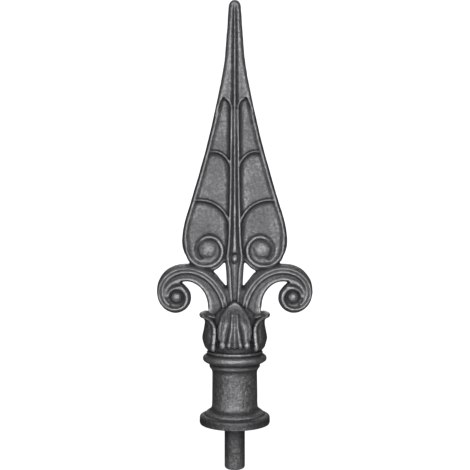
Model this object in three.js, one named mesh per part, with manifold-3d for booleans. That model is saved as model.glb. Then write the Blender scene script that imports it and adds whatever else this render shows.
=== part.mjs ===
// Fence spear finial: one grey-iron casting for the top of a railing post.
// A turned spigot, flange, shaft and collar carry a calyx of four leaves. Out of it rise a stem,
// two side scrolls and a flat spear blade that is ribbed alike on its front and its back.
// Millimetres, +Z up, front face towards -Y, origin at the centre of the spigot's end.
import * as THREE from "three";
import { mergeVertices } from "three/addons/utils/BufferGeometryUtils.js";
import Module from "manifold-3d";

const wasm = await Module();
wasm.setup();

// Driving dimensions. Widths and depths are half sizes, from the axis or from the mid plane.
const SPIGOT = { radius: 7.25, length: 32, chamfer: 1 };
const FLANGE = { radius: 25, rimTop: 36, top: 38.2, flat: 22.5, edge: 0.4 };
const FLARE = { radius: 21, foot: 39.2, middleRadius: 18.2, middle: 41.5, top: 45.4 };
const SHAFT = { footRadius: 16.2, topRadius: 16, top: 67.6 };
const FILLET = { radius: 18.1, foot: 71.4, top: 73.5 };
const COLLAR = { radius: 22.7, under: 76.4, height: 78.2, over: 79.8, top: 81.4 };
const NECK = { radius: 19.9, height: 82.4, waist: 18.8, top: 83.3 };
const CALYX = { belly: 18.8, bellyHeight: 92, shoulder: 15.5, shoulderHeight: 108, top: 114 };
const SIDE_LEAF = { foot: 83.5, top: 111.5, width: 14.8, belly: 22.6, waist: 20.9 };
const SIDE_TIP = { radius: 25.2, height: 108.2, width: 9 };
const FRONT_LEAF = { foot: 86, belly: 22.4, waist: 19.6, tip: 18, top: 118.6, width: 11.9 };
const VEIN = { spread: [-3.8, 0, 3.8], foot: 88.5, top: 114, radius: 1.1 };
const STEM = { foot: 108, top: 152, footWidth: 5.4, topWidth: 6.5, depth: 5 };
const STEM_RIM = { depth: 6.6, width: 0.95 };
const BEAD = { height: 148.4, width: 2.3, length: 3.2, depth: 8 };
const BUD = { x: 7.2, height: 119, width: 2.4, length: 5.2, depth: 7 };
const SCROLL = { eyeX: 41, eyeHeight: 121.4, depth: 5.4, bevel: 2 };
// Radii about the scroll's eye: each grows by an exponential of the turn from straight outwards.
const COIL = { radius: 8.25, growth: 5.63, rate: 0.5615 };
const RIDGE = { radius: 5.33, growth: 6.64, rate: 0.4584, gap: 2.6, width: 0.95, depth: 7.1 };
const THROAT = { angle: 109, radius: 11.6, pitch: 0.146 };
const THROAT_RIM = { inset: 1.1, innerRadius: 7, innerFade: 80 };
const EYE = { pocket: 5.1, floor: 3.9, radius: 4.2, depth: 7.6 };
const BLADE = { tip: 332, tipRadius: 4.4, depth: 3.5, bevel: 1.4, foot: 145.6 };
// Half widths of the blade at heights down its edge, from the shoulder of the tip to the lobe.
const BLADE_EDGE = [
  [4.65, 325],
  [6, 306],
  [7.5, 288.5],
  [11.3, 267],
  [18.9, 233],
  [28.4, 198.5],
  [35.2, 176],
  [37.2, 165],
  [37.4, 159],
  [36.3, 153.8],
  [34.6, 150],
];
// The spearhead above the first arches stands higher than the panels, with a groove down its middle.
const HEAD = { foot: 261.2, depth: 4.9, bevel: 2, groove: 3.9, grooveTop: 1.2, grooveFoot: 2.7 };
const RIM = { start: 266, inset: 2.4, width: 1.25, depth: 5.1 };
const MIDRIB = { width: 0.8, depth: 6.1, foot: 150 };
// Half spacings of the two side ribs at heights down the blade.
const SIDE_RIB = [
  [2.2, 253.5],
  [2.5, 230],
  [2.8, 200],
  [3.7, 167],
  [4.7, 151],
];
const SIDE_RIB_WIDTH = 0.9;
// Each arch is part of an ellipse, from a side rib up and out to the rim.
const ARCHES = [
  { x: 8.2, height: 253.5, reach: 6, rise: 8.5, end: 88 },
  { x: 15, height: 209, reach: 12.6, rise: 15, end: 108 },
  { x: 25, height: 169.5, reach: 21.5, rise: 20.3, end: 102 },
];
const ARCH = { width: 0.9, depth: 5.4 };
// The rim runs on into a volute: its radii after each quarter turn inwards round the boss.
const VOLUTE = { x: 18.6, height: 154, radii: [15.4, 11, 9.8, 9.7, 7.5, 6.5], margin: 2.1 };
const VOLUTE_BOSS = { x: 19.1, height: 154.8, radius: 5.6, depth: 6.3 };
const ROUND_SIDES = 24;

const radians = THREE.MathUtils.degToRad;

// A geometry as a closed solid, with shared corners merged and collapsed triangles dropped.
function solid(geometry) {
  const bare = new THREE.BufferGeometry();
  bare.setAttribute("position", geometry.getAttribute("position"));
  if (geometry.index) bare.setIndex(geometry.index);
  const merged = mergeVertices(bare, 1e-3);
  const corners = merged.index.array;
  const kept = [];
  for (let i = 0; i < corners.length; i += 3) {
    const [a, b, c] = corners.subarray(i, i + 3);
    if (a !== b && b !== c && c !== a) kept.push(a, b, c);
  }
  const vertProperties = merged.getAttribute("position").array;
  return new wasm.Manifold(new wasm.Mesh({ numProp: 3, vertProperties, triVerts: Uint32Array.from(kept) }));
}

// The same geometry on the other side of the X = 0 plane, with its faces turned to point out again.
function mirrored(geometry) {
  const other = geometry.index ? geometry.toNonIndexed() : geometry.clone();
  other.scale(-1, 1, 1);
  const place = other.getAttribute("position");
  const second = new THREE.Vector3();
  const third = new THREE.Vector3();
  for (let i = 0; i < place.count; i += 3) {
    second.fromBufferAttribute(place, i + 1);
    third.fromBufferAttribute(place, i + 2);
    place.setXYZ(i + 1, third.x, third.y, third.z);
    place.setXYZ(i + 2, second.x, second.y, second.z);
  }
  return other;
}

const join = (solids) => solids.reduce((whole, next) => whole.add(next));
const onBothSides = (geometry) => join([solid(geometry), solid(mirrored(geometry))]);
const flat = ([x, z]) => new THREE.Vector2(x, z);
const upright = ([x, z]) => new THREE.Vector3(x, 0, z);

// Places at even steps of a value that runs from one end to the other.
function sweep(from, to, count, placeAt) {
  return Array.from({ length: count + 1 }, (_, i) => placeAt(from + ((to - from) * i) / count));
}

// A place on a spiral about a centre, at an angle in degrees from straight outwards.
function polar(x, height, angle, radius) {
  return [x + radius * Math.cos(radians(angle)), height + radius * Math.sin(radians(angle))];
}

// Revolves a profile of radii and heights about the finial's axis.
function turned(profile) {
  return solid(new THREE.LatheGeometry(profile.getPoints(3), ROUND_SIDES).rotateX(Math.PI / 2));
}

// An outline seen from the front, extruded alike to both sides of the mid plane, with sloped edges.
function slab(outline, depth, bevel) {
  const shape = new THREE.Shape(outline.map(flat));
  const size = { depth: 2 * (depth - bevel), bevelThickness: bevel, bevelSize: bevel, bevelOffset: -bevel };
  const geometry = new THREE.ExtrudeGeometry(shape, { ...size, bevelSegments: 1, steps: 1 });
  return geometry.rotateX(Math.PI / 2).translate(0, depth - bevel, 0);
}

// An outline for the right side, closed by its mirror image on the left.
function symmetric(right) {
  const left = right.filter(([x]) => x > 0).map(([x, z]) => [-x, z]);
  return [...right, ...left.reverse()];
}

// A curve in the mid plane, stepped at its own places, which lie closer together where it winds.
function curveThrough(places) {
  const curve = new THREE.CatmullRomCurve3(places.map(upright));
  curve.getUtoTmapping = (share) => share;
  return curve;
}

// A rib along places in the mid plane. It stands proud of both faces, with sides sloping to its crest.
function rib(places, width, face, depth) {
  const foot = face - 0.4;
  const front = [
    [-foot, width],
    [-depth, 0],
    [-foot, -width],
  ];
  const back = front.map(([y, x]) => [-y, -x]);
  const section = new THREE.Shape([...front, ...back].map(flat));
  const run = { steps: places.length - 1, extrudePath: curveThrough(places) };
  return new THREE.ExtrudeGeometry(section, { ...run, bevelEnabled: false });
}

// A dome on both faces: a sphere stretched through the casting.
function boss(x, height, width, length, depth) {
  return new THREE.SphereGeometry(1, 10, 8).scale(width, depth, length).translate(x, 0, height);
}

// Spigot, flange, flare, shaft, fillet, collar, neck and the core of the calyx, in one turned profile.
function turnedBase() {
  const profile = new THREE.Path();
  profile.moveTo(0, 0);
  profile.lineTo(SPIGOT.radius - SPIGOT.chamfer, 0);
  profile.lineTo(SPIGOT.radius, SPIGOT.chamfer);
  profile.lineTo(SPIGOT.radius, SPIGOT.length);
  profile.lineTo(FLANGE.radius - FLANGE.edge, SPIGOT.length);
  profile.lineTo(FLANGE.radius, SPIGOT.length + FLANGE.edge);
  profile.lineTo(FLANGE.radius, FLANGE.rimTop);
  profile.lineTo(FLANGE.flat, FLANGE.top);
  profile.lineTo(FLARE.radius, FLANGE.top);
  profile.lineTo(FLARE.radius, FLARE.foot);
  profile.quadraticCurveTo(FLARE.radius - 0.4, FLARE.middle - 1.4, FLARE.middleRadius, FLARE.middle);
  profile.quadraticCurveTo(SHAFT.footRadius + 0.4, FLARE.middle + 1.6, SHAFT.footRadius, FLARE.top);
  profile.lineTo(SHAFT.topRadius, SHAFT.top);
  profile.quadraticCurveTo(SHAFT.topRadius + 0.3, FILLET.foot - 1, FILLET.radius, FILLET.foot);
  profile.lineTo(FILLET.radius, FILLET.top);
  profile.quadraticCurveTo(COLLAR.radius + 0.2, COLLAR.under, COLLAR.radius, COLLAR.height);
  profile.quadraticCurveTo(COLLAR.radius - 0.1, COLLAR.over, NECK.radius - 0.6, COLLAR.top);
  profile.lineTo(NECK.radius, NECK.height);
  profile.lineTo(NECK.waist, NECK.top);
  profile.quadraticCurveTo(CALYX.belly, CALYX.bellyHeight, CALYX.shoulder, CALYX.shoulderHeight);
  profile.lineTo(CALYX.shoulder - 4, CALYX.top);
  profile.lineTo(0, CALYX.top);
  return turned(profile);
}

// The outline of a leaf seen from straight in front: a lobed foot, full sides and a narrowing tip.
function leafOutline({ foot, top, width }, shoulder, tipWidth) {
  const outline = new THREE.Shape();
  outline.moveTo(-0.7 * width, foot);
  outline.lineTo(0.7 * width, foot);
  outline.quadraticCurveTo(1.05 * width, foot + 5, width, (foot + shoulder) / 2);
  outline.quadraticCurveTo(width, shoulder + 3, tipWidth, top);
  outline.lineTo(-tipWidth, top);
  outline.quadraticCurveTo(-width, shoulder + 3, -width, (foot + shoulder) / 2);
  outline.quadraticCurveTo(-1.05 * width, foot + 5, -0.7 * width, foot);
  return outline;
}

// A pair of opposite leaves: the turned shape of their backs, cut to the outline from two sides.
function leafPair(profile, outline, turns) {
  const back = turned(profile);
  const size = { depth: 2 * SIDE_TIP.radius, bevelEnabled: false, curveSegments: 5 };
  const cutter = new THREE.ExtrudeGeometry(outline, size);
  cutter.rotateX(Math.PI / 2);
  return join(turns.map((turn) => back.intersect(solid(cutter.clone().rotateZ(turn)))));
}

// The side leaves swell at the belly and curl outwards at the tip.
function sideLeaves() {
  const { foot, belly, waist, top } = SIDE_LEAF;
  const tip = SIDE_TIP.height;
  const profile = new THREE.Path();
  profile.moveTo(0, foot);
  profile.lineTo(NECK.radius, foot);
  profile.quadraticCurveTo(belly + 1.2, foot + 6, belly - 0.5, foot + 12);
  profile.quadraticCurveTo(waist - 1.4, tip - 7, SIDE_TIP.radius - 1, tip - 1.6);
  profile.quadraticCurveTo(SIDE_TIP.radius + 0.8, tip + 0.4, SIDE_TIP.radius - 2.6, tip + 1.6);
  profile.lineTo(CALYX.shoulder, top);
  profile.lineTo(0, top);
  return leafPair(profile, leafOutline(SIDE_LEAF, tip - 3, SIDE_TIP.width), [Math.PI / 2, -Math.PI / 2]);
}

// The front and back leaves lean inwards and carry three veins that fan out to the foot.
function frontLeaves() {
  const { foot, belly, waist, tip, top } = FRONT_LEAF;
  const profile = new THREE.Path();
  profile.moveTo(0, foot);
  profile.lineTo(NECK.radius, foot);
  profile.quadraticCurveTo(belly + 0.8, foot + 6, belly - 0.6, foot + 13);
  profile.quadraticCurveTo(waist, top - 10, tip - 1.6, top - 5);
  profile.lineTo(tip, top - 2.6);
  profile.lineTo(tip - 1.2, top);
  profile.lineTo(0, top);
  const turns = [0, Math.PI];
  const veins = VEIN.spread.map((spread) => {
    const line = new THREE.CatmullRomCurve3([
      new THREE.Vector3(spread, -(belly - 1.4), VEIN.foot),
      new THREE.Vector3(0.75 * spread, -(belly - 0.2), VEIN.foot + 8),
      new THREE.Vector3(0.42 * spread, -(waist + 0.5), top - 13),
      new THREE.Vector3(0.2 * spread, -(tip - 1.2), VEIN.top),
    ]);
    const section = new THREE.Shape().absarc(0, 0, VEIN.radius, 0, 2 * Math.PI);
    const run = { steps: 3, curveSegments: 3, extrudePath: line };
    return new THREE.ExtrudeGeometry(section, { ...run, bevelEnabled: false });
  });
  const pair = leafPair(profile, leafOutline(FRONT_LEAF, top - 12, 1.2), turns);
  const ribs = turns.flatMap((turn) => veins.map((vein) => solid(vein.clone().rotateZ(turn))));
  return join([pair, ...ribs]);
}

const coilEdge = (angle) => COIL.radius + COIL.growth * Math.exp(COIL.rate * radians(angle));
const ridgeLine = (angle) => RIDGE.radius + RIDGE.growth * Math.exp(RIDGE.rate * radians(angle));
const throatEdge = (angle) => THROAT.radius + THROAT.pitch * (angle - THROAT.angle);
const aboutEye = (radiusAt) => (angle) => polar(SCROLL.eyeX, SCROLL.eyeHeight, angle, radiusAt(angle));

// The rim of the throat runs on inside the coil, where it closes in on the eye.
function throatRim(angle) {
  const { inset, innerRadius, innerFade } = THROAT_RIM;
  if (angle > THROAT.angle) return throatEdge(angle) + inset;
  const spread = THROAT.radius + inset - innerRadius;
  return innerRadius + spread * Math.exp((angle - THROAT.angle) / innerFade);
}

// The side scrolls spring from the calyx, arch outwards and coil down round their eyes.
function sideScrolls() {
  const outer = sweep(-220, 165, 24, aboutEye(coilEdge));
  const root = [
    [3, 124],
    [3, SIDE_TIP.height],
    [17.4, SIDE_TIP.height],
  ];
  const throat = sweep(194, THROAT.angle, 8, aboutEye(throatEdge));
  const arm = sweep(172, -60, 10, aboutEye(ridgeLine));
  const coil = sweep(-84, -320, 10, aboutEye(ridgeLine));
  const innerRidge = sweep(178, -45, 9, aboutEye((angle) => ridgeLine(angle) - RIDGE.gap));
  const rim = sweep(192, -30, 9, aboutEye(throatRim));
  const pocket = new THREE.CylinderGeometry(EYE.pocket, EYE.pocket, EYE.depth, 12);
  pocket.translate(SCROLL.eyeX, EYE.floor + EYE.depth / 2, SCROLL.eyeHeight);
  const band = join([
    onBothSides(slab([...outer, ...root, ...throat], SCROLL.depth, SCROLL.bevel)),
    onBothSides(rib([...arm, ...coil], RIDGE.width, SCROLL.depth, RIDGE.depth)),
    onBothSides(rib(innerRidge, RIDGE.width, SCROLL.depth, RIDGE.depth - 0.3)),
    onBothSides(rib(rim, RIDGE.width, SCROLL.depth, RIDGE.depth - 0.7)),
  ]);
  const pockets = join([onBothSides(pocket), onBothSides(pocket.clone().rotateZ(Math.PI))]);
  const eyes = onBothSides(boss(SCROLL.eyeX, SCROLL.eyeHeight, EYE.radius, EYE.radius, EYE.depth));
  return band.subtract(pockets).add(eyes);
}

// The stem carries the blade between the scrolls: two rims, a groove, a bead above, buds below.
function stem() {
  const { foot, top, footWidth, topWidth, depth } = STEM;
  const outline = symmetric([
    [topWidth, top],
    [footWidth, 136],
    [footWidth, foot],
  ]);
  const rim = [
    [2.3, foot],
    [2.4, 120],
    [2.9, 130],
    [3.5, 142],
    [4.7, top - 3],
  ];
  const ridge = [
    [0, foot],
    [0, BEAD.height],
  ];
  return join([
    solid(slab(outline.reverse(), depth, 1.2)),
    onBothSides(rib(rim, STEM_RIM.width, depth, STEM_RIM.depth)),
    solid(rib(ridge, 0.7, depth, depth + 0.5)),
    solid(boss(0, BEAD.height, BEAD.width, BEAD.length, BEAD.depth)),
    onBothSides(boss(BUD.x, BUD.height, BUD.width, BUD.length, BUD.depth)),
  ]);
}

const edgeCurve = new THREE.SplineCurve(BLADE_EDGE.map(flat));
const voluteSteps = new THREE.SplineCurve(VOLUTE.radii.map((radius, quarter) => flat([radius, quarter])));
const voluteRadius = (angle) => voluteSteps.getPoint(-angle / (90 * (VOLUTE.radii.length - 1))).x;
const aboutBoss = (radiusAt) => (angle) => polar(VOLUTE.x, VOLUTE.height, angle, radiusAt(angle));

const tipPlace = (angle) => polar(0, BLADE.tip - BLADE.tipRadius, angle, BLADE.tipRadius);

// The right half of the blade's outline, from the middle of the tip to the foot of the lobe.
function bladeOutline() {
  const tip = [[0, BLADE.tip], ...sweep(60, 6, 2, tipPlace)];
  const edge = edgeCurve.getPoints(15).map(({ x, y }) => [x, y]);
  const lobe = sweep(-24, -126, 8, aboutBoss((angle) => voluteRadius(angle) + VOLUTE.margin));
  return [...tip, ...edge, ...lobe, [7.2, BLADE.foot]];
}

// The rim starts below the spearhead, follows the edge and winds on into the volute.
function rimLine() {
  const along = sweep(0, 1, 13, (t) => {
    const place = edgeCurve.getPoint(t);
    const way = edgeCurve.getTangent(t);
    return [place.x + way.y * RIM.inset, place.y - way.x * RIM.inset];
  });
  const edge = along.filter(([, z]) => z < RIM.start && z > VOLUTE.height + 4);
  return [...edge, ...sweep(-8, -380, 18, aboutBoss(voluteRadius))];
}

function archLine({ x, height, reach, rise, end }) {
  return sweep(0, radians(end), 5, (turn) => [x - reach * Math.cos(turn), height + rise * Math.sin(turn)]);
}

// The spearhead, with a groove cut down the middle of each face for the midrib to stand in.
function spearhead() {
  const above = bladeOutline().filter(([, z]) => z > HEAD.foot);
  const outline = symmetric([...above, [12.2, HEAD.foot]]);
  const grooveOutline = symmetric([
    [HEAD.grooveTop, BLADE.tip - 5],
    [HEAD.grooveFoot, HEAD.foot - 3],
  ]);
  const grooveShape = new THREE.Shape(grooveOutline.map(flat));
  const groove = new THREE.ExtrudeGeometry(grooveShape, { depth: HEAD.depth, bevelEnabled: false });
  groove.rotateX(Math.PI / 2).translate(0, -HEAD.groove, 0);
  const grooves = solid(groove).add(solid(groove.clone().rotateZ(Math.PI)));
  return solid(slab(outline, HEAD.depth, HEAD.bevel)).subtract(grooves);
}

// The blade: a thin plate with a midrib, two side ribs, three pairs of arches, rims and volutes.
function blade() {
  const ridge = [
    [0, BLADE.tip - 4],
    [0, MIDRIB.foot],
  ];
  const { x, height, radius, depth } = VOLUTE_BOSS;
  return join([
    solid(slab(symmetric(bladeOutline()), BLADE.depth, BLADE.bevel)),
    spearhead(),
    solid(rib(ridge, MIDRIB.width, BLADE.depth, MIDRIB.depth)),
    onBothSides(rib(rimLine(), RIM.width, BLADE.depth, RIM.depth)),
    onBothSides(rib(SIDE_RIB, SIDE_RIB_WIDTH, BLADE.depth, MIDRIB.depth - 0.1)),
    onBothSides(boss(x, height, radius, radius, depth)),
    ...ARCHES.map((arch) => onBothSides(rib(archLine(arch), ARCH.width, BLADE.depth, ARCH.depth))),
  ]);
}

// A joined solid as a three.js geometry again.
function geometryOf(whole) {
  const { numProp, vertProperties, triVerts } = whole.getMesh();
  const place = new Float32Array((vertProperties.length / numProp) * 3);
  for (let i = 0; i < place.length / 3; i += 1) {
    place.set(vertProperties.subarray(i * numProp, i * numProp + 3), 3 * i);
  }
  const geometry = new THREE.BufferGeometry();
  geometry.setAttribute("position", new THREE.BufferAttribute(place, 3));
  geometry.setIndex(new THREE.BufferAttribute(triVerts, 1));
  return geometry;
}

const casting = join([turnedBase(), sideLeaves(), frontLeaves(), sideScrolls(), stem(), blade()]);
const iron = new THREE.MeshStandardMaterial({ color: 0x67676b, roughness: 0.55, metalness: 0.6 });
const finial = new THREE.Mesh(geometryOf(casting), iron);
finial.name = "finial_casting";

const part = new THREE.Group();
part.add(finial);

export default part;
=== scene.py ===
import math

import bpy
import numpy as np
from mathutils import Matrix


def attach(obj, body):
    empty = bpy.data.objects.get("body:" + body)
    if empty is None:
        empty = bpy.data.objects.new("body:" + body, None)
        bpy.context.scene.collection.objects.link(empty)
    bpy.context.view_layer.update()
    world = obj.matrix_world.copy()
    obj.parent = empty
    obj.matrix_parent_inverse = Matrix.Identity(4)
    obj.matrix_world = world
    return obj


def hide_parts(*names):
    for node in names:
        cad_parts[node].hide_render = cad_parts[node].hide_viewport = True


# Fence spear finial: the fine relief of the casting, its iron finish, the light and the camera.
# Sizes are in millimetres until the mesh is made. The casting is modelled as a field that is
# positive inside, for the quarter with x and depth positive, and mirrored to the other quarters.

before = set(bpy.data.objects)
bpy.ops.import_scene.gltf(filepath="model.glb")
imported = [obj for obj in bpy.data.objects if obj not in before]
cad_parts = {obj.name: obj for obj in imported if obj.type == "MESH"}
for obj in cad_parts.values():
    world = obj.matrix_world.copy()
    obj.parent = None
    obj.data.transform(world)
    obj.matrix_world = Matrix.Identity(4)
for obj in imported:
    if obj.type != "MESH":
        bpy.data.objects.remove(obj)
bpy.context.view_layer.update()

# Grid
STEP = 0.32
REACH_X = 56.6
REACH_DEPTH = 26.6
FOOT = -1.2
HEIGHT = 333.4
FAR = -4.0
QUARTER_TRIANGLES = 47000

# Turned base: heights
SPIGOT_TOP = 32.0
NECK_HEIGHT = 82.6

# Blade
TIP = 332.0
TIP_RADIUS = 4.4
BLADE_FOOT = 145.6
BLADE_EDGE = [(4.65, 325), (6, 306), (7.5, 288.5), (11.3, 267), (18.9, 233), (28.4, 198.5)]
BLADE_EDGE += [(35.2, 176), (37.2, 165), (37.4, 159), (36.3, 153.8), (34.6, 150)]
SIDE_RIB = [(2.2, 253.5), (2.5, 230), (2.8, 200), (3.6, 167), (4.0, 159), (4.8, 151)]
ARCHES = [(8.2, 253.5, 6.0, 8.5, 88), (15, 209, 12.6, 15, 108), (25, 169.5, 21.5, 20.3, 106)]
RIM_INSET = 2.3
VOLUTE_X = 18.6
VOLUTE_HEIGHT = 154.0
VOLUTE_RADII = [15.4, 11.0, 9.8, 9.7, 7.5, 6.5, 6.3]
BOSS_X = 19.1
BOSS_HEIGHT = 154.8
BOSS_RADIUS = 7.0
GROOVE = 2.3
PANEL = 4.2
FLANK = 4.9
RIM_CREST = 4.6
ARCH_CREST = 5.5
RIB_CREST = 6.1
SPINE = 4.4
MIDRIB_CREST = 6.0
MIDRIB_WIDTH = [(2.3, 150), (2.2, 154), (1.8, 160), (1.4, 170), (1.15, 200), (1.15, 258), (1.0, 322)]
BOSS_CREST = 6.0
RIM_TOP = 268
RIM_WIDTH = 1.9
ARCH_WIDTH = 1.15
SIDE_RIB_WIDTH = [(1.35, 151), (1.2, 200)]
HEAD_GROOVE = [(1.9, 262), (1.75, 290), (1.2, 325)]
HEAD_GROOVE_WIDTH = [(0.6, 262), (0.42, 325)]
HEAD_GROOVE_DEPTH = 0.9
# What the lobe stands out beyond the volute, at turns in degrees
LOBE_MARGIN = [(2.2, 20), (2.2, 45), (1.9, 80), (2.6, 92), (4.0, 100), (4.2, 110), (3.9, 126)]

# Side scrolls: spirals about the eye that grow by an exponential of the turn,
# and what is added to the coil's radius at angles in degrees from straight outwards
EYE_X = 41.0
EYE_HEIGHT = 121.4
COIL = (8.25, 5.63, 0.5615)
COIL_SWELL = [(1.0, -226), (1.1, -90), (0.7, -60), (0.2, -30), (0, 0), (0, 18)]
COIL_SWELL += [(0.3, 28), (1.1, 60), (1.3, 75), (1.0, 90), (0.5, 105), (0, 120), (0, 148)]
COIL_SWELL += [(-1.6, 160), (-1.6, 168)]
RIDGE = (5.33, 6.64, 0.4584)
RIDGE_GAP = 2.6
# The first ridge widens as it winds round the eye, by its share of the way
RIDGE_WIDTH = [(1.05, 0.42), (1.5, 0.55), (2.0, 0.7)]
SECOND_RIDGE_WIDTH = 1.1
THROAT_RIM_WIDTH = 1.2
SCROLL_FACE = 5.0
# The cleft between coil and throat, as angles and radii about the eye
CLEFT = [(110.6, 11.2), (108, 9.5), (98, 8.5), (74, 7.8), (40, 7.4), (11, 6.9), (-24, 6.7)]
CLEFT_DEPTH = 1.9
THROAT_ANGLE = 109.0
THROAT_RADIUS = 10.8
THROAT_PITCH = 0.137
THROAT_EDGE = 1.8
THROAT_RIM_INSET = 1.1
THROAT_INNER_RADIUS = 7.0
THROAT_INNER_FADE = 80
EYE_RADIUS = 4.3
EYE_POCKET = 5.4

# Stem, bead and buds
STEM_WIDTH = [(5.4, 108), (5.4, 122), (5.8, 130), (6.2, 138), (6.8, 145), (7.2, 152)]
STEM_CREST = [(2.2, 108), (2.3, 120), (2.9, 130), (3.5, 142), (4.6, 147), (5.0, 152)]
STEM_TOP = 151.5
BEAD_HEIGHT = 148.4
BEAD_SIZE = (2.3, 2.6, 3.2)
BUD_PLACE = (7.2, 0, 119.5)
BUD_SIZE = (2.5, 7.3, 5.6)

# Side leaves at heights: the bearing of their front edge, and the flat that trims it
LEAF_OPENING = [(47, 84), (41, 87), (39, 92), (39.5, 97), (42, 100.6), (46, 103), (52, 105.4)]
LEAF_OPENING += [(59, 107), (66, 109), (72, 111.5)]
LEAF_FACET = [(16.6, 86), (16.4, 92), (15.9, 97), (15.0, 100.6), (14.0, 103), (13.3, 105.4)]
LEAF_FACET += [(13.4, 107), (15, 108.5)]

# Front leaf at heights: half width, veins either side of the middle one, and flutes beside them
FRONT_LEAF = [(8.2, 88), (9.9, 90.5), (11.4, 94), (11.95, 98), (11.7, 102), (11.0, 105.5)]
FRONT_LEAF += [(9.6, 109), (6.5, 113.4), (3.9, 116.4), (0.6, 118.9)]
VEIN = [(4.1, 88), (3.4, 94), (2.75, 98), (2.2, 102), (1.85, 108), (1.6, 114)]
VEIN_WIDTH = [(1.35, 88), (1.1, 95), (0.85, 104)]
FLUTE = [(5.8, 88), (5.6, 94), (5.4, 97), (4.5, 102), (3.9, 108)]
FLUTE_WIDTH = [(0.9, 88), (1.2, 94), (1.25, 100), (0.8, 108)]
FLUTE_DEPTH = 1.4

# Calyx: lobes at the feet of the leaves, and the dark eyes between them, as places and half sizes
LOBES = [((8.4, 19.8, 89.6), (2.4, 2.1, 2.9)), ((14.9, 15.3, 87.5), (1.9, 2.1, 3.2))]
LOBES += [((4.1, 20.9, 89.6), (1.4, 1.4, 2.2))]
LEAF_EYE = ((11.8, 16.5, 89.3), (1.45, 5.0, 3.3))

# Parts of the grid: flat relief above, turned base and calyx below
RELIEF_FOOT = 105
RELIEF_DEPTH = 9.6
BASE_REACH = 27
BASE_TOP = 122


def value_at(pairs, place):
    """Interpolates values, each listed with the height or the angle it is for."""
    table = np.array(sorted(pairs, key=lambda pair: pair[1]), dtype=float)
    return np.interp(place, table[:, 1], table[:, 0])


def spline(places, per=8):
    """A smooth curve through the places, as many points."""
    p = np.asarray(places, dtype=float)
    padded = np.vstack([2 * p[0] - p[1], p, 2 * p[-1] - p[-2]])
    t = np.linspace(0, 1, per, endpoint=False)[:, None]
    runs = []
    for a, b, c, d in zip(padded, padded[1:], padded[2:], padded[3:]):
        bend = (2 * a - 5 * b + 4 * c - d) * t**2
        twist = (3 * b - a - 3 * c + d) * t**3
        runs.append(0.5 * (2 * b + (c - a) * t + bend + twist))
    runs.append(p[-1:])
    return np.vstack(runs)


def polar(x, z, angles, radii):
    turn = np.radians(angles)
    return np.column_stack([x + radii * np.cos(turn), z + radii * np.sin(turn)])


def nearest(line, x, z):
    """Distance to a line of points, and where along it, from 0 to 1, the nearest place is."""
    best = np.full(np.broadcast(x, z).shape, 1e9, dtype=np.float32)
    along = np.zeros_like(best)
    last = len(line) - 1
    for i in range(last):
        (ax, az), (bx, bz) = line[i], line[i + 1]
        dx = bx - ax
        dz = bz - az
        t = np.clip(((x - ax) * dx + (z - az) * dz) / (dx * dx + dz * dz + 1e-12), 0, 1)
        gap = (x - ax - t * dx) ** 2 + (z - az - t * dz) ** 2
        closer = gap < best
        best = np.where(closer, gap, best)
        along = np.where(closer, (i + t) / last, along)
    return np.sqrt(best), along


def within(outline, x, z):
    """True where a place is inside a closed outline."""
    inside = np.zeros(np.broadcast(x, z).shape, dtype=bool)
    for (ax, az), (bx, bz) in zip(outline, np.roll(outline, -1, axis=0)):
        if az == bz:
            continue
        spans = (az > z) != (bz > z)
        inside ^= spans & (x < ax + (z - az) * (bx - ax) / (bz - az))
    return inside


def ease(t):
    t = np.clip(t, 0, 1)
    return t * t * (3 - 2 * t)


def slope(t):
    """A pillow's long flank, steepest at its foot."""
    return np.sin(0.5 * np.pi * np.clip(t, 0, 1))


def bead(distance, width, power=3):
    """The section of a bead, 1 on its crest and 0 beyond its width, flatter for a higher power."""
    return np.sqrt(np.clip(1 - np.abs(distance / width) ** power, 0, 1))


def dome(distance, width):
    return np.sqrt(np.clip(1 - (distance / width) ** 2, 0, 1))


def hump(distance, width):
    return np.exp(-((distance / width) ** 2))


def blend_max(a, b, size):
    """The union of two fields, with a fillet of about that size."""
    mix = np.clip(1 - np.abs(a - b) / size, 0, 1)
    return np.maximum(a, b) + 0.25 * size * mix * mix


def blend_min(a, b, size):
    return -blend_max(-a, -b, size)


def plate(inset, edge, level, depth):
    """A field for a relief of that level whose edge is rounded over an inset of that size."""
    over = np.clip((edge - inset) / edge, 0, None)
    reach = np.sqrt(over[:, None, :] ** 2 + (depth[None, :, None] / level[:, None, :]) ** 2)
    return edge[:, None, :] * (1 - reach)


def evened(level, rounds):
    """A relief with its steps turned into short slopes."""
    for _ in range(rounds):
        p = np.pad(level, 1, mode="edge")
        level = 0.5 * p[1:-1, 1:-1] + 0.125 * (p[:-2, 1:-1] + p[2:, 1:-1] + p[1:-1, :-2] + p[1:-1, 2:])
    return level


def ellipsoid(x, depth, z, centre, size):
    across = ((x - centre[0]) / size[0]) ** 2
    through = ((depth - centre[1]) / size[1]) ** 2
    upward = ((z - centre[2]) / size[2]) ** 2
    return min(size) * (1 - np.sqrt(across + through + upward))


def edge_line():
    return spline(BLADE_EDGE, 10)


def volute_radius(turn):
    quarters = np.arange(len(VOLUTE_RADII))
    curve = spline(np.column_stack([quarters, VOLUTE_RADII]), 20)
    return np.interp(turn / 90, curve[:, 0], curve[:, 1])


def blade_outline():
    angles = np.radians(np.linspace(90, 6, 12))
    tip = np.column_stack([TIP_RADIUS * np.cos(angles), TIP - TIP_RADIUS * (1 - np.sin(angles))])
    turns = np.linspace(24, 126, 24)
    lobe = polar(VOLUTE_X, VOLUTE_HEIGHT, -turns, volute_radius(turns) + value_at(LOBE_MARGIN, turns))
    return np.vstack([tip, edge_line(), lobe, [(7.2, BLADE_FOOT), (0, BLADE_FOOT)]])


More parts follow.
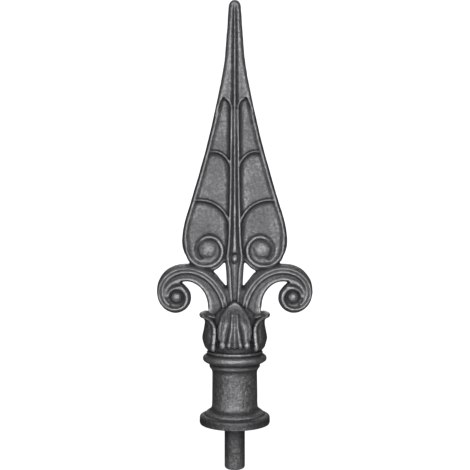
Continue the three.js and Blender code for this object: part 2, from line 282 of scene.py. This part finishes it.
def rim_line():
    """The rim follows the edge and winds on into the volute."""
    edge = edge_line()
    way = np.gradient(edge, axis=0)
    way /= np.linalg.norm(way, axis=1)[:, None]
    inner = edge + RIM_INSET * np.column_stack([way[:, 1], -way[:, 0]])
    inner = inner[(inner[:, 1] < RIM_TOP) & (inner[:, 1] > VOLUTE_HEIGHT + 10)]
    turns = np.linspace(4, 400, 80)
    winding = polar(VOLUTE_X, VOLUTE_HEIGHT, -turns, volute_radius(turns))
    return np.vstack([inner, winding]), len(inner)


def blade_relief(x, z):
    """Half depth of the blade's relief, and the distance inside its outline."""
    outline = blade_outline()
    gap, _ = nearest(outline, x, z)
    inset = np.where(within(outline, x, z), gap, -gap)

    rim, rim_start = rim_line()
    rim_gap, rim_along = nearest(rim, x, z)
    wound = ease((rim_along * len(rim) - rim_start) / (len(rim) - rim_start))
    rib_gap, _ = nearest(spline(SIDE_RIB, 8), x, z)
    rib_x = value_at(SIDE_RIB, z)
    boss_gap = np.hypot(x - BOSS_X, z - BOSS_HEIGHT)

    pillow = 0.35 + 0.65 * slope((rim_gap - 1.2) / 2.2)
    pillow *= np.where(x > rib_x, slope((rib_gap - 0.7) / 4.4), 0)
    arch_beads = np.zeros_like(inset)
    for centre, height, reach, rise, end in ARCHES:
        angles = np.radians(np.linspace(0, end, 24))
        arch = np.column_stack([centre - reach * np.cos(angles), height + rise * np.sin(angles)])
        arch_gap, arch_along = nearest(arch, x, z)
        below = ((x - centre) / reach) ** 2 + ((z - height) / rise) ** 2 < 1
        below |= (x > centre) & (z < height + 0.97 * rise)
        pillow *= slope((arch_gap - 0.6) / np.where(below, min(4.8, 0.4 * reach), 1.4))
        arch_beads = np.maximum(arch_beads, bead(arch_gap, ARCH_WIDTH) * ease((1.03 - arch_along) / 0.2))
    level = GROOVE + (PANEL - GROOVE) * pillow

    centre, height, reach, rise, _ = ARCHES[0]
    spine = (x < rib_x) * ease((height + 3 - z) / 5)
    level = level + (SPINE - level) * spine
    turn = np.clip(1 - ((x - centre) / (reach + 0.4)) ** 2, 0.05, 1)
    dropped = 0.8 + 2.2 * np.maximum(x - centre, 0)
    head_foot = height + rise * np.where(x < centre, np.sqrt(turn), 1) - dropped
    head = ease((z - head_foot) / 1.2)
    groove = hump(x - value_at(HEAD_GROOVE, z), value_at(HEAD_GROOVE_WIDTH, z)) * ease((330 - z) / 5)
    flank = FLANK - HEAD_GROOVE_DEPTH * groove
    level = level + (flank - level) * head

    ring = ease(8 * wound)
    rim_end = ease(4 * wound - 3)
    rim_crest = RIM_CREST + 0.6 * ring - 0.9 * rim_end
    rim_width = RIM_WIDTH - 0.2 * ring - 0.5 * rim_end
    rim_section = dome(rim_gap, rim_width) * (1 - ring) + bead(rim_gap, rim_width) * ring
    rim_fade = ease((263 - z) / 14) * ease((1.0 - wound) / 0.2)
    level = blend_max(level, GROOVE + (rim_crest - GROOVE) * rim_section * rim_fade, 0.5)
    level = blend_max(level, GROOVE + (ARCH_CREST - GROOVE) * arch_beads, 0.35)
    side_rib = bead(rib_gap, value_at(SIDE_RIB_WIDTH, z), 4)
    level = blend_max(level, GROOVE + (RIB_CREST - GROOVE) * side_rib, 0.3)
    midrib_crest = MIDRIB_CREST - 1.1 * ease((z - 318) / 10)
    midrib = bead(x, value_at(MIDRIB_WIDTH, z), 4) * ease((z - 151.3) / 1.6)
    level = blend_max(level, GROOVE + (midrib_crest - GROOVE) * midrib, 0.3)
    level = blend_max(level, GROOVE + (BOSS_CREST - GROOVE) * dome(boss_gap, BOSS_RADIUS), 0.7)

    edge = 2.3 + 1.0 * ease((z - 256) / 18)
    return inset, edge, evened(np.maximum(level, 1.0), 1)


def stem_relief(x, z):
    width = value_at(STEM_WIDTH, z)
    crest = value_at(STEM_CREST, z)
    inset = np.minimum(width - x, STEM_TOP - z)
    pocket = hump(np.hypot(x, z - BEAD_HEIGHT), 3.6)
    level = 5.0 + 0.5 * hump(x, 0.8) - 0.6 * pocket
    level = np.where(x > crest, 6.3, level)
    level = blend_max(level, 4.4 + 2.1 * bead(x - crest, 1.0), 0.4)
    return inset, 0.95 * (width - crest) + 0 * x, level


def spiral_radius(law, angle):
    start, growth, rate = law
    return start + growth * np.exp(rate * np.radians(angle))


def coil_radius(angle):
    return spiral_radius(COIL, angle) + value_at(COIL_SWELL, angle)


def ridge_radius(angle):
    return spiral_radius(RIDGE, angle) + 0.7 * ease((-60 - angle) / 90)


def about_eye(angles, radii):
    return polar(EYE_X, EYE_HEIGHT, angles, radii)


def throat_radius(angle):
    return THROAT_RADIUS + THROAT_PITCH * (angle - THROAT_ANGLE)


def throat_rim_radius(angle):
    """The rim of the throat runs on inside the coil, where it closes in on the eye."""
    spread = THROAT_RADIUS + THROAT_RIM_INSET - THROAT_INNER_RADIUS
    inner = THROAT_INNER_RADIUS + spread * np.exp((angle - THROAT_ANGLE) / THROAT_INNER_FADE)
    return np.where(angle > THROAT_ANGLE, throat_radius(angle) + THROAT_RIM_INSET, inner)


def scroll_relief(x, z):
    """Half depth of a side scroll's relief, with the distance inside its outline."""
    outer_angles = np.linspace(-226, 168, 90)
    outer = about_eye(outer_angles, coil_radius(outer_angles))
    throat_angles = np.linspace(197, THROAT_ANGLE, 30)
    throat = about_eye(throat_angles, throat_radius(throat_angles))
    root = [(2, 126), (2, 106), (17.6, 106)]
    inside = within(np.vstack([outer, root, throat]), x, z)
    throat = np.vstack([throat, outer[:1]])

    outer_gap, outer_along = nearest(outer, x, z)
    throat_gap, _ = nearest(throat, x, z)
    angle = outer_angles[0] + outer_along * (outer_angles[-1] - outer_angles[0])
    outer_edge = np.clip(0.95 * (coil_radius(angle) - ridge_radius(angle)), 1.7, 6.5)
    over = np.maximum((outer_edge - outer_gap) / outer_edge, (THROAT_EDGE - throat_gap) / THROAT_EDGE)
    beyond = 1 + np.minimum(outer_gap / outer_edge, throat_gap / THROAT_EDGE)
    over = np.where(inside, over, beyond)

    first_angles = np.linspace(196, -350, 130)
    first_gap, first_along = nearest(about_eye(first_angles, ridge_radius(first_angles)), x, z)
    second_angles = np.linspace(202, -45, 60)
    second_radii = spiral_radius(RIDGE, second_angles) - RIDGE_GAP
    second_gap, _ = nearest(about_eye(second_angles, second_radii), x, z)
    third_angles = np.linspace(206, -40, 60)
    third_gap, _ = nearest(about_eye(third_angles, throat_rim_radius(third_angles)), x, z)
    cleft_angles, cleft_radii = spline(CLEFT, 6).T
    cleft_gap, cleft_along = nearest(about_eye(cleft_angles, cleft_radii), x, z)
    eye_gap = np.hypot(x - EYE_X, z - EYE_HEIGHT)

    trough = second_gap / (second_gap + third_gap + 1e-6)
    level = 2.6 + 3.8 * ease(1.15 * trough)
    bearing = np.degrees(np.arctan2(z - EYE_HEIGHT, x - EYE_X))
    bearing = np.where(bearing < -60, bearing + 360, bearing)
    shoulder = (bearing > 60) & (eye_gap > spiral_radius(RIDGE, bearing))
    between = first_gap + second_gap < RIDGE_GAP + 0.8
    level = np.where(between, 5.8, level)
    fallen = np.maximum(6.3 - 0.5 * np.maximum(first_gap - 0.8, 0), 3.6)
    level = np.where((outer_gap < outer_edge) | shoulder, fallen, level)
    first_width = value_at(RIDGE_WIDTH, first_along)
    level = blend_max(level, SCROLL_FACE + 2.1 * bead(first_gap, first_width), 0.35)
    level = blend_max(level, SCROLL_FACE + 1.9 * bead(second_gap, SECOND_RIDGE_WIDTH), 0.35)
    level = blend_max(level, SCROLL_FACE + 1.3 * bead(third_gap, THROAT_RIM_WIDTH), 0.4)
    level = level - CLEFT_DEPTH * hump(cleft_gap, 0.62) * ease((1 - cleft_along) / 0.4)
    pocket = ease((EYE_POCKET - eye_gap) / 0.9)
    level = level + (4.0 - level) * pocket
    level = blend_max(level, 3.4 + 4.4 * dome(eye_gap, EYE_RADIUS), 0.4)
    inset = outer_edge * (1 - over)
    return inset, outer_edge, evened(level, 4)


def turned_profile():
    """Spigot, flange, flare, shaft, fillet, collar and the core of the calyx: radii and heights."""
    foot = [(0, 0), (6.3, 0), (7.25, 1.0), (7.25, SPIGOT_TOP), (24.7, SPIGOT_TOP), (25, 32.3)]
    shoulder = [(25, 36.4), (24.85, 37.0), (24.4, 37.6), (23.4, 38.1), (22.4, 38.4), (21.3, 38.5)]
    flare = [(21.0, 38.7), (21.0, 39.15), (20.6, 39.8), (19.7, 40.6), (18.6, 41.3), (17.6, 42.0)]
    flare += [(16.85, 42.9), (16.45, 44.0), (16.3, 45.6)]
    cavetto = [(16.0, 67.6), (16.25, 69.2), (16.9, 70.5), (17.8, 71.4), (18.1, 72.1)]
    torus = [(18.4, 74.3), (19.4, 74.7), (20.7, 75.3), (21.85, 76.1), (22.55, 77.0), (22.75, 78.1)]
    torus += [(22.55, 79.2), (21.8, 80.1), (20.6, 80.9), (19.5, 81.3)]
    neck = [(19.3, 81.5), (19.95, 81.8), (20.15, 82.5), (19.85, 83.1), (18.8, 83.5)]
    core = [(18.2, 84.0), (18.6, 91), (17.6, 100), (15.5, 108), (11.5, 113.5)]
    rows = foot + shoulder + list(spline(flare, 4)) + [(16.2, 47.5)] + list(spline(cavetto, 4))
    rows += [(18.1, 73.7)] + list(spline(torus, 4)) + neck + list(spline(core, 4)) + [(0, 113.5)]
    return np.array(rows)


def side_leaf_profile():
    back = [(19.6, 84.0), (21.6, 86.5), (22.5, 90.8), (22.2, 95), (21.2, 99.6), (20.9, 102.4)]
    back += [(21.5, 104.8), (22.8, 106.3), (24.3, 106.9), (25.2, 107.8)]
    curl = [(25.3, 109.0), (24.6, 110.2), (23.2, 111.0), (21.5, 111.3), (19.8, 110.8)]
    curl += [(18, 109.9), (15, 109.4)]
    return np.array([(0, 84.0)] + list(spline(back, 4)) + list(spline(curl, 4)) + [(0, 109.4)])


def front_leaf_profile():
    back = [(20.6, 88.0), (21.6, 90.2), (22.3, 94), (22.1, 99), (20.9, 104.5), (19.0, 109.5)]
    back += [(17.5, 113.2)]
    tip = [(17.0, 115.2), (16.8, 117.0), (16.2, 118.4), (15.0, 118.9)]
    return np.array([(0, 88.0)] + list(spline(back, 4)) + list(spline(tip, 4)) + [(0, 118.9)])


def revolve_table(profile, radii, z):
    """Distance inside a turned profile, for every radius and height of a table."""
    r = radii[:, None]
    gap, _ = nearest(profile, r, z[None, :])
    return np.where(within(profile, r, z[None, :]), gap, -gap).astype(np.float32)


def look_up(table, radius, spacing):
    place = radius / spacing
    low = np.minimum(place.astype(int), len(table) - 2)
    part = (place - low)[..., None].astype(np.float32)
    return table[low] * (1 - part) + table[low + 1] * part


def base_field(x, depth, z):
    """The turned base with the calyx of leaves round it."""
    radius = np.hypot(x[:, None], depth[None, :])
    spacing = STEP / 2
    radii = np.arange(0, 42, spacing)
    field = look_up(revolve_table(turned_profile(), radii, z), radius, spacing)

    leafy = z > NECK_HEIGHT
    zl = z[leafy]
    xx = x[:, None, None]
    dd = depth[None, :, None]
    zz = zl[None, None, :]
    r = radius[:, :, None]

    side = look_up(revolve_table(side_leaf_profile(), radii, zl), radius, spacing)
    bearing = np.arctan2(xx, np.maximum(dd, 1e-3))
    front_edge = (bearing - np.radians(value_at(LEAF_OPENING, zz))) * r
    flute = -0.7 * hump(front_edge - 4.0, 1.5) * ease((zz - 88) / 5)
    from_side = (np.pi / 2 - bearing) * r
    ribbed = ease((zz - 87) / 6) * ease((106 - zz) / 5)
    side_relief = (0.8 * hump(from_side, 1.1) - 0.6 * hump(from_side - 4.2, 1.6)) * ribbed
    shell = np.where(front_edge < 4.5, 2.6 - side, 9.0) + 20 * ease((92 - zz) / 6)
    side = blend_min(side + flute + side_relief, front_edge, 0.9)
    side = blend_min(side, value_at(LEAF_FACET, zz) - dd, 0.5)
    side = blend_min(side, shell, 0.8)

    front = look_up(revolve_table(front_leaf_profile(), radii, zl), radius, spacing)
    leaf_edge = (value_at(FRONT_LEAF, zz) - xx) * 0.85
    vein_width = value_at(VEIN_WIDTH, zz)
    veins = 0.8 * (bead(xx, vein_width) + bead(xx - value_at(VEIN, zz), vein_width)) * ease((115 - zz) / 6)
    flute_hump = hump(xx - value_at(FLUTE, zz), value_at(FLUTE_WIDTH, zz))
    flutes = -FLUTE_DEPTH * flute_hump * ease((108 - zz) / 9)
    lip = 0.1 * bead(leaf_edge - 0.8, 0.8) - 0.18 * hump(leaf_edge - 1.8, 0.4)
    front = blend_min(front + veins + flutes + lip * ease((zz - 92) / 4), leaf_edge, 1.3)
    front = np.where(dd > 6, front, np.minimum(front, dd - 4))

    leaves = np.maximum(side, front)
    for centre, size in LOBES:
        leaves = blend_max(leaves, ellipsoid(xx, dd, zz, centre, size), 0.9)
    leaves = blend_max(field[:, :, leafy], leaves, 0.6)
    field[:, :, leafy] = blend_min(leaves, -ellipsoid(xx, dd, zz, *LEAF_EYE), 0.5)
    return field


def soften(field, rounds):
    """Rounds every sharp corner a little, as casting does."""
    for _ in range(rounds):
        for axis in range(3):
            middle = [slice(None)] * 3
            before = [slice(None)] * 3
            after = [slice(None)] * 3
            middle[axis] = slice(1, -1)
            before[axis] = slice(0, -2)
            after[axis] = slice(2, None)
            inner = 0.5 * field[tuple(middle)] + 0.25 * (field[tuple(before)] + field[tuple(after)])
            field[tuple(middle)] = inner
        field[0] = field[1]
        field[:, 0] = field[:, 1]
    return field


def casting_field():
    x = np.abs((np.arange(int(REACH_X / STEP) + 2) - 0.5) * STEP)
    depth = np.abs((np.arange(int(REACH_DEPTH / STEP) + 2) - 0.5) * STEP)
    z = np.arange(FOOT, HEIGHT, STEP)
    field = np.full((len(x), len(depth), len(z)), FAR, dtype=np.float32)

    top = z > RELIEF_FOOT
    shallow = depth < RELIEF_DEPTH
    zt = z[top][None, :]
    xt = x[:, None]
    ds = depth[shallow]
    flat = plate(*blade_relief(xt, zt), ds)
    flat = blend_max(flat, plate(*stem_relief(xt, zt), ds), 0.9)
    flat = blend_max(flat, plate(*scroll_relief(xt, zt), ds), 0.9)
    x3 = x[:, None, None]
    d3 = ds[None, :, None]
    z3 = z[top][None, None, :]
    flat = blend_max(flat, ellipsoid(x3, d3, z3, (0, 4.8, BEAD_HEIGHT), BEAD_SIZE), 0.3)
    flat = blend_max(flat, ellipsoid(x3, d3, z3, BUD_PLACE, BUD_SIZE), 0.6)
    first_top = int(np.argmax(top))
    field[:, : len(ds), first_top:] = np.maximum(flat, FAR)

    near = x < BASE_REACH
    low = z < BASE_TOP
    base = base_field(x[near], depth, z[low])
    block = (slice(0, int(near.sum())), slice(None), slice(0, int(low.sum())))
    field[block] = blend_max(field[block], np.maximum(base, FAR), 0.8)
    return soften(field, 2), z[0]


def surface(field, z_start):
    """One vertex in each cell that the surface crosses, and one quad for each crossed grid edge."""
    solid = field > 0
    count = np.zeros(tuple(n - 1 for n in field.shape), dtype=np.uint8)
    corners = [(i, j, k) for i in (0, 1) for j in (0, 1) for k in (0, 1)]
    nx, ny, nz = count.shape
    for i, j, k in corners:
        count += solid[i : i + nx, j : j + ny, k : k + nz]
    cells = np.argwhere((count > 0) & (count < 8))
    number = np.full(count.shape, -1, dtype=np.int32)
    number[tuple(cells.T)] = np.arange(len(cells))

    values = {c: field[tuple((cells + c).T)] for c in corners}
    total = np.zeros((len(cells), 3))
    crossings = np.zeros(len(cells))
    for start in corners:
        for axis in range(3):
            if start[axis]:
                continue
            end = tuple(v + (1 if a == axis else 0) for a, v in enumerate(start))
            p, q = values[start], values[end]
            crossed = (p > 0) != (q > 0)
            part = np.where(crossed, p / np.where(crossed, p - q, 1), 0)
            place = np.tile(np.array(start, dtype=float), (len(cells), 1))
            place[:, axis] = part
            total += np.where(crossed[:, None], place, 0)
            crossings += crossed
    places = cells + total / crossings[:, None]
    places = (places - [0.5, 0.5, 0]) * STEP + [0, 0, z_start]

    quads = []
    for axis in range(3):
        u, v = (axis + 1) % 3, (axis + 2) % 3
        first = [slice(1, -1)] * 3
        first[axis] = slice(0, -1)
        second = list(first)
        second[axis] = slice(1, None)
        here = solid[tuple(first)]
        change = np.argwhere(here != solid[tuple(second)])
        start = change + [0 if a == axis else 1 for a in range(3)]
        turn = here[tuple(change.T)]
        ring = []
        for du, dv in ((-1, -1), (0, -1), (0, 0), (-1, 0)):
            cell = start.copy()
            cell[:, u] += du
            cell[:, v] += dv
            ring.append(number[tuple(cell.T)])
        ring = np.column_stack(ring)
        quads.append(np.where(turn[:, None], ring, ring[:, ::-1]))
    return places, np.vstack(quads)


def mesh_from(name, places, faces):
    mesh = bpy.data.meshes.new(name)
    mesh.from_pydata(places.tolist(), [], faces.tolist())
    mesh.update()
    return mesh


def thinned(places, faces, triangles):
    """The same surface with fewer triangles, kept where it bends."""
    mesh = mesh_from("quarter", places, faces)
    piece = bpy.data.objects.new("quarter", mesh)
    bpy.context.scene.collection.objects.link(piece)
    fewer = piece.modifiers.new("fewer", "DECIMATE")
    fewer.ratio = min(1.0, triangles / (2 * len(faces)))
    fewer.use_collapse_triangulate = True
    done = piece.evaluated_get(bpy.context.evaluated_depsgraph_get()).to_mesh()
    out = np.empty(3 * len(done.vertices))
    done.vertices.foreach_get("co", out)
    corners = np.empty(len(done.loops), dtype=np.int32)
    done.loops.foreach_get("vertex_index", corners)
    bpy.data.objects.remove(piece)
    bpy.data.meshes.remove(mesh)
    return out.reshape(-1, 3), corners.reshape(-1, 3)


def unfolded(places, faces):
    """The quarter mirrored across both middle planes into the whole casting, front towards -Y."""
    places = np.where(np.abs(places) < 0.06, [[0.0, 0.0, 1.0]] * places, places)
    for axis in (0, 1):
        flip = np.ones(3)
        flip[axis] = -1
        on_plane = places[:, axis] == 0
        match = np.where(on_plane, np.arange(len(places)), 0)
        match[~on_plane] = len(places) + np.arange((~on_plane).sum())
        other = match[faces][:, ::-1]
        places = np.vstack([places, places[~on_plane] * flip])
        faces = np.vstack([faces, other])
    distinct = (faces[:, 0] != faces[:, 1]) & (faces[:, 1] != faces[:, 2]) & (faces[:, 2] != faces[:, 0])
    return places, faces[distinct]


def box_blur(volume, reach):
    """Mean over a cube of cells, with the two middle planes acting as mirrors."""
    for axis in range(3):
        width = [(0, 0)] * 3
        width[axis] = (reach + 1, reach)
        padded = np.pad(volume, width, mode="symmetric" if axis < 2 else "edge")
        running = np.cumsum(padded, axis=axis, dtype=np.float32)
        size = 2 * reach + 1
        upper = np.take(running, range(size, running.shape[axis]), axis=axis)
        lower = np.take(running, range(0, running.shape[axis] - size), axis=axis)
        volume = (upper - lower) / size
    return volume


def sampled(volume, places, z_start):
    where = np.column_stack([
        np.abs(places[:, 0]) / STEP + 0.5,
        np.abs(places[:, 1]) / STEP + 0.5,
        (places[:, 2] - z_start) / STEP,
    ])
    low = np.clip(where.astype(int), 0, np.array(volume.shape) - 2)
    part = where - low
    total = np.zeros(len(places))
    for i in (0, 1):
        for j in (0, 1):
            for k in (0, 1):
                weight = np.prod(np.where([i, j, k], part, 1 - part), axis=1)
                total += weight * volume[low[:, 0] + i, low[:, 1] + j, low[:, 2] + k]
    return total


def waves(places, seed, count, shortest, longest):
    """A smooth uneven field from seeded waves in all directions, about -1 to 1."""
    random = np.random.default_rng(seed)
    total = np.zeros(len(places))
    for _ in range(count):
        way = random.normal(size=3)
        way /= np.linalg.norm(way)
        length = shortest * (longest / shortest) ** random.random()
        total += np.sin(places @ way * (2 * np.pi / length) + random.random() * 2 * np.pi)
    return total / math.sqrt(count)


def recess_of(field, places, z_start):
    """How deep each place lies among its neighbours: 0.5 on a flat face, more in a hollow."""
    occupied = np.clip(field / STEP * 0.5 + 0.5, 0, 1)
    fine = sampled(box_blur(occupied, 3), places, z_start)
    broad = sampled(box_blur(occupied, 8), places, z_start)
    return 0.5 + 1.1 * (fine - 0.5) + 0.8 * (broad - 0.5)


def zone_shade_and_highlight_of(places):
    """What is added to the recess measure where the colour is drawn darker (painted shade in the calyx
    core; a darker spigot, flange rim, leaf tips and blade, more towards its edge), or taken off for
    painted highlights on the flare foot, flare and neck and painted light on the shaft.
    """
    height = places[:, 2]
    radius = np.hypot(places[:, 0], places[:, 1])
    forward = np.abs(places[:, 1])

    def band(low, high):
        return (height > low) & (height < high)

    flange_foot = SPIGOT_TOP - 0.5
    spigot = height < flange_foot
    flange_rim = band(flange_foot, 38.2)
    flare_foot = band(38.6, 40.4) & (radius > 20.2)
    flare = band(43, 46.5)
    shaft = band(46.5, 67)
    neck = band(81.7, 83.2) & (radius > 19.3)
    core = band(83.4, 87.5) & (radius < 19.6)
    side_leaf_tip = band(105, 112) & (radius > 17) & (forward > 6.8)
    front_leaf_tip = band(112.5, 120) & (forward > 12)
    edge_gap, _ = nearest(blade_outline(), np.abs(places[:, 0]), height)
    on_blade = ease((height - 147) / 3) * ease((266 - height) / 8) * (forward < 5.2)

    # Painted shade in the calyx core; the spigot, flange rim, leaf tips and blade, more towards its edge,
    # are drawn darker.
    darker = 0.1 * spigot + 0.24 * flange_rim + 0.12 * core + 0.1 * side_leaf_tip + 0.1 * front_leaf_tip
    darker += on_blade * (0.04 + 0.07 * ease((4.2 - edge_gap) / 1.2))
    # Painted highlights on the flare foot, flare and neck, and painted light on the shaft.
    painted_highlight = 0.12 * flare_foot + 0.1 * flare + 0.04 * shaft + 0.1 * neck
    return darker - painted_highlight


def casting():
    field, z_start = casting_field()
    places, faces = surface(field, z_start)
    places, faces = thinned(places, faces, QUARTER_TRIANGLES)
    places, faces = unfolded(places, faces)
    # The colour value: painted shade in the hollows, partly dark patina, and painted highlight on the
    # ridges, from the recess measure plus the zone offsets.
    painted_shade_and_patina = recess_of(field, places, z_start) + zone_shade_and_highlight_of(places)

    mesh = mesh_from("finial", places, faces)
    normals = np.empty(3 * len(places))
    mesh.vertices.foreach_get("normal", normals)
    cast = places[:, 2] > SPIGOT_TOP + 0.2
    uneven = 0.05 * waves(places, 11, 30, 2.5, 7) + 0.05 * waves(places, 12, 16, 9, 30)
    inward = np.minimum(uneven - 0.12, 0) * cast
    places = places + normals.reshape(-1, 3) * inward[:, None]
    places[:, 2] = np.maximum(places[:, 2], 0)
    mesh.vertices.foreach_set("co", (places * 0.001).ravel())
    mesh.polygons.foreach_set("use_smooth", np.ones(len(faces), dtype=bool))
    layer = mesh.attributes.new("painted_shade_and_patina", "FLOAT", "POINT")
    layer.data.foreach_set("value", painted_shade_and_patina.astype(np.float32))
    mesh.update()
    piece = bpy.data.objects.new("finial_relief", mesh)
    bpy.context.scene.collection.objects.link(piece)
    return piece


def node(tree, kind, **settings):
    made = tree.nodes.new(kind)
    for name, value in settings.items():
        if hasattr(made, name):
            setattr(made, name, value)
        else:
            made.inputs[name.replace("_", " ").title()].default_value = value
    return made


def ramp(tree, source, stops):
    made = tree.nodes.new("ShaderNodeValToRGB")
    points = made.color_ramp.elements
    while len(points) < len(stops):
        points.new(0.5)
    for point, (place, grey) in zip(points, stops):
        point.position = place
        point.color = (grey[0], grey[1], grey[2], 1)
    tree.links.new(source, made.inputs["Fac"])
    return made.outputs["Color"]


def mapped(tree, source, wide, narrow):
    """A value spread from one range to another."""
    made = tree.nodes.new("ShaderNodeMapRange")
    tree.links.new(source, made.inputs["Value"])
    made.inputs["From Min"].default_value, made.inputs["From Max"].default_value = wide
    made.inputs["To Min"].default_value, made.inputs["To Max"].default_value = narrow
    return made.outputs["Result"]


def added(tree, one, other):
    made = tree.nodes.new("ShaderNodeMath")
    tree.links.new(one, made.inputs[0])
    tree.links.new(other, made.inputs[1])
    return made.outputs["Value"]


def iron():
    """Graphite-grey cast iron: painted shade darkens the recesses, partly dark patina, and the ridges are
    lighter, partly wear and partly painted highlight; grainy from the mould.
    """
    material = bpy.data.materials.new("graphite_iron")
    material.use_nodes = True
    tree = material.node_tree
    shader = tree.nodes["Principled BSDF"]
    link = tree.links.new
    where = tree.nodes.new("ShaderNodeTexCoord").outputs["Object"]

    # Painted shade in the recesses (partly dark patina) and painted highlight on the ridges, read from the
    # mesh.
    painted_shade_and_patina = node(tree, "ShaderNodeAttribute", attribute_name="painted_shade_and_patina").outputs["Fac"]
    mottle = node(tree, "ShaderNodeTexNoise", scale=560, detail=4, roughness=0.65)
    link(where, mottle.inputs["Vector"])
    drift = node(tree, "ShaderNodeTexNoise", scale=70, detail=3)
    link(where, drift.inputs["Vector"])
    grainy = mapped(tree, mottle.outputs["Fac"], (0.25, 0.75), (-0.09, 0.09))
    patchy = mapped(tree, drift.outputs["Fac"], (0.25, 0.75), (-0.05, 0.05))
    shade = added(tree, painted_shade_and_patina, added(tree, grainy, patchy))
    # Grey stops: light for the painted highlight on ridges, dark for the painted shade in recesses.
    stops = [
        (0.25, (0.56, 0.56, 0.573)),
        (0.42, (0.43, 0.43, 0.44)),
        (0.50, (0.26, 0.26, 0.267)),
        (0.63, (0.18, 0.18, 0.186)),
        (0.80, (0.085, 0.085, 0.089)),
    ]
    link(ramp(tree, shade, stops), shader.inputs["Base Color"])

    link(mapped(tree, shade, (0.3, 0.75), (0.46, 0.64)), shader.inputs["Roughness"])
    shader.inputs["Metallic"].default_value = 0.9

    grain = node(tree, "ShaderNodeTexNoise", scale=900, detail=4, roughness=0.65)
    link(where, grain.inputs["Vector"])
    pits = node(tree, "ShaderNodeTexNoise", scale=330, detail=3, roughness=0.55)
    link(where, pits.inputs["Vector"])
    height = added(tree, grain.outputs["Fac"], mapped(tree, pits.outputs["Fac"], (0, 1), (0, 1.6)))
    bump = tree.nodes.new("ShaderNodeBump")
    bump.inputs["Strength"].default_value = 1.0
    bump.inputs["Distance"].default_value = 0.0005
    link(height, bump.inputs["Height"])
    link(bump.outputs["Normal"], shader.inputs["Normal"])
    return material


def floor():
    """A pale studio floor that turns up into a backdrop."""
    front, back, top, bend = -2.2, 1.6, 3.0, 0.7
    rows = [(front, 0.0), (back - bend, 0.0)]
    for i in range(1, 13):
        angle = math.radians(7.5 * i)
        rows.append((back - bend + bend * math.sin(angle), bend - bend * math.cos(angle)))
    rows.append((back, top))
    places = [(x, y, z - 0.0002) for y, z in rows for x in (-2.5, 2.5)]
    faces = [(2 * i, 2 * i + 1, 2 * i + 3, 2 * i + 2) for i in range(len(rows) - 1)]
    mesh = bpy.data.meshes.new("floor")
    mesh.from_pydata(places, [], faces)
    mesh.polygons.foreach_set("use_smooth", [True] * len(faces))
    piece = bpy.data.objects.new("floor", mesh)
    bpy.context.scene.collection.objects.link(piece)
    material = bpy.data.materials.new("pale_paper")
    material.use_nodes = True
    shader = material.node_tree.nodes["Principled BSDF"]
    shader.inputs["Base Color"].default_value = (0.9, 0.9, 0.9, 1)
    shader.inputs["Roughness"].default_value = 0.9
    shader.inputs["Emission Color"].default_value = (1, 1, 1, 1)
    shader.inputs["Emission Strength"].default_value = 0.95
    mesh.materials.append(material)
    piece.visible_diffuse = False
    piece.visible_glossy = False
    return piece


def softbox(name, place, aim, size, power):
    light = bpy.data.lights.new(name, "AREA")
    light.shape = "RECTANGLE"
    light.size, light.size_y = size
    light.energy = power
    lamp = bpy.data.objects.new(name, light)
    lamp.location = place
    way = np.array(aim) - np.array(place)
    yaw = math.atan2(-way[0], way[1])
    pitch = math.atan2(math.hypot(way[0], way[1]), -way[2])
    lamp.rotation_euler = (pitch, 0, yaw)
    bpy.context.scene.collection.objects.link(lamp)


def studio():
    middle = (0, 0, 0.165)
    softbox("key", (0, -0.64, 0.235), (0, 0, 0.235), (0.46, 0.46), 3.05)
    softbox("behind", (0, 1.3, 1.25), middle, (1.1, 0.5), 6.0)
    world = bpy.data.worlds.new("studio")
    world.use_nodes = True
    world.node_tree.nodes["Background"].inputs["Color"].default_value = (1, 1, 1, 1)
    world.node_tree.nodes["Background"].inputs["Strength"].default_value = 0.05
    bpy.context.scene.world = world
    bpy.context.scene.view_settings.view_transform = "Standard"


def camera():
    """Level with the middle of the finial and close in front of it."""
    distance = 0.54
    pixel = 0.00071
    pixels = 470
    sensor = 36
    lens = bpy.data.cameras.new("camera")
    lens.sensor_width = sensor
    lens.lens = sensor * distance / (pixel * pixels)
    eye = bpy.data.objects.new("camera", lens)
    eye.location = (0.0002, -distance, 0.16515)
    eye.rotation_euler = (math.pi / 2, 0, 0)
    bpy.context.scene.collection.objects.link(eye)
    bpy.context.scene.camera = eye


finial = casting()
finial.data.materials.append(iron())
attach(finial, "root")
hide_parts("finial_casting")
floor()
studio()
camera()
